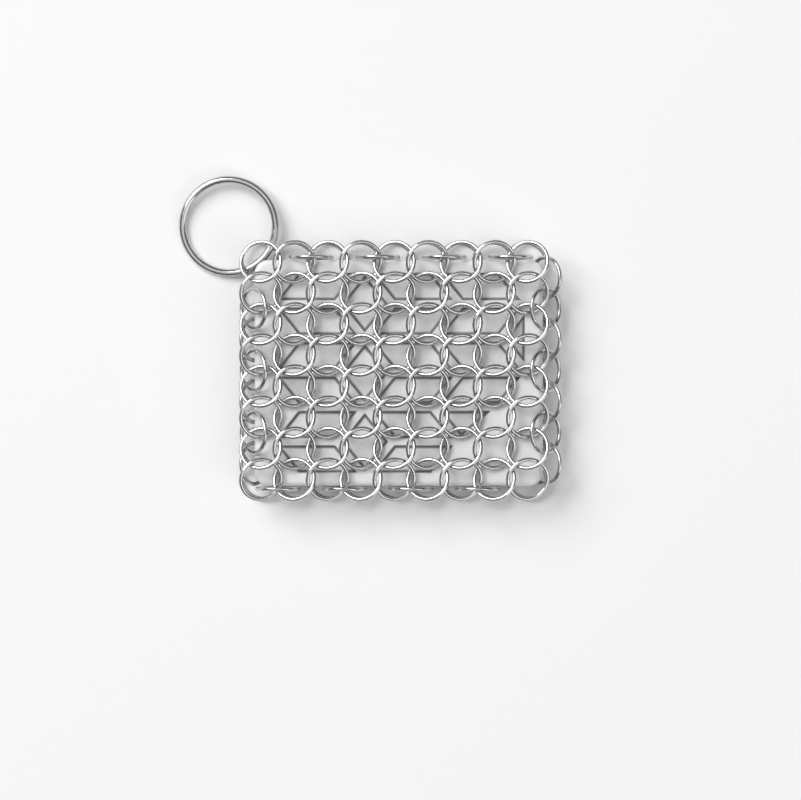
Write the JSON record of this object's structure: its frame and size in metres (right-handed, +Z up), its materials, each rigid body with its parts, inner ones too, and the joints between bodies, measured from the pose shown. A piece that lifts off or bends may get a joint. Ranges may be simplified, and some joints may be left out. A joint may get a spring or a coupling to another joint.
{
  "type": "pot scrubber",
  "caption": "Chain-mail scrubbing pad of linked steel rings closed round a ribbed silicone core, with a large wire ring at one corner for hanging it up.",
  "frame": {"origin": "on the surface that the pad lies on, under the middle of the silicone core", "axes": "+X along the pad's rows away from the hanging ring's end, +Y across the rows towards the hanging ring's edge, +Z up out of the front face"},
  "size_m": [0.1114, 0.0946, 0.0148],
  "materials": {
    "steel_wire": "polished stainless steel wire",
    "hanging_wire": "polished stainless steel wire",
    "silicone": "matt moulded silicone"
  },
  "bodies": {
    "pad": {"front_mail_row_1": "steel_wire", "front_mail_row_2": "steel_wire", "front_mail_row_3": "steel_wire", "front_mail_row_4": "steel_wire", "front_mail_row_5": "steel_wire", "front_mail_row_6": "steel_wire", "front_mail_row_7": "steel_wire", "front_mail_row_8": "steel_wire", "back_mail_row_1": "steel_wire", "back_mail_row_2": "steel_wire", "back_mail_row_3": "steel_wire", "back_mail_row_4": "steel_wire", "back_mail_row_5": "steel_wire", "back_mail_row_6": "steel_wire", "back_mail_row_7": "steel_wire", "back_mail_row_8": "steel_wire", "left_seam_front_rings": "steel_wire", "left_seam_back_rings": "steel_wire", "right_seam_front_rings": "steel_wire", "right_seam_back_rings": "steel_wire", "top_closing_rings": "steel_wire", "bottom_closing_rings": "steel_wire", "silicone_core": "silicone"},
    "hanging_ring": {"hanging_ring": "hanging_wire"}
  },
  "joints": [
    {"name": "hanging_ring_swing", "type": "hinge", "parent": "pad", "child": "hanging_ring", "pos_m": [-0.04115, 0.03351, 0.00252], "axis": [0.7431, 0.6691, 0], "range_deg": [-80, 65]}
  ]
}
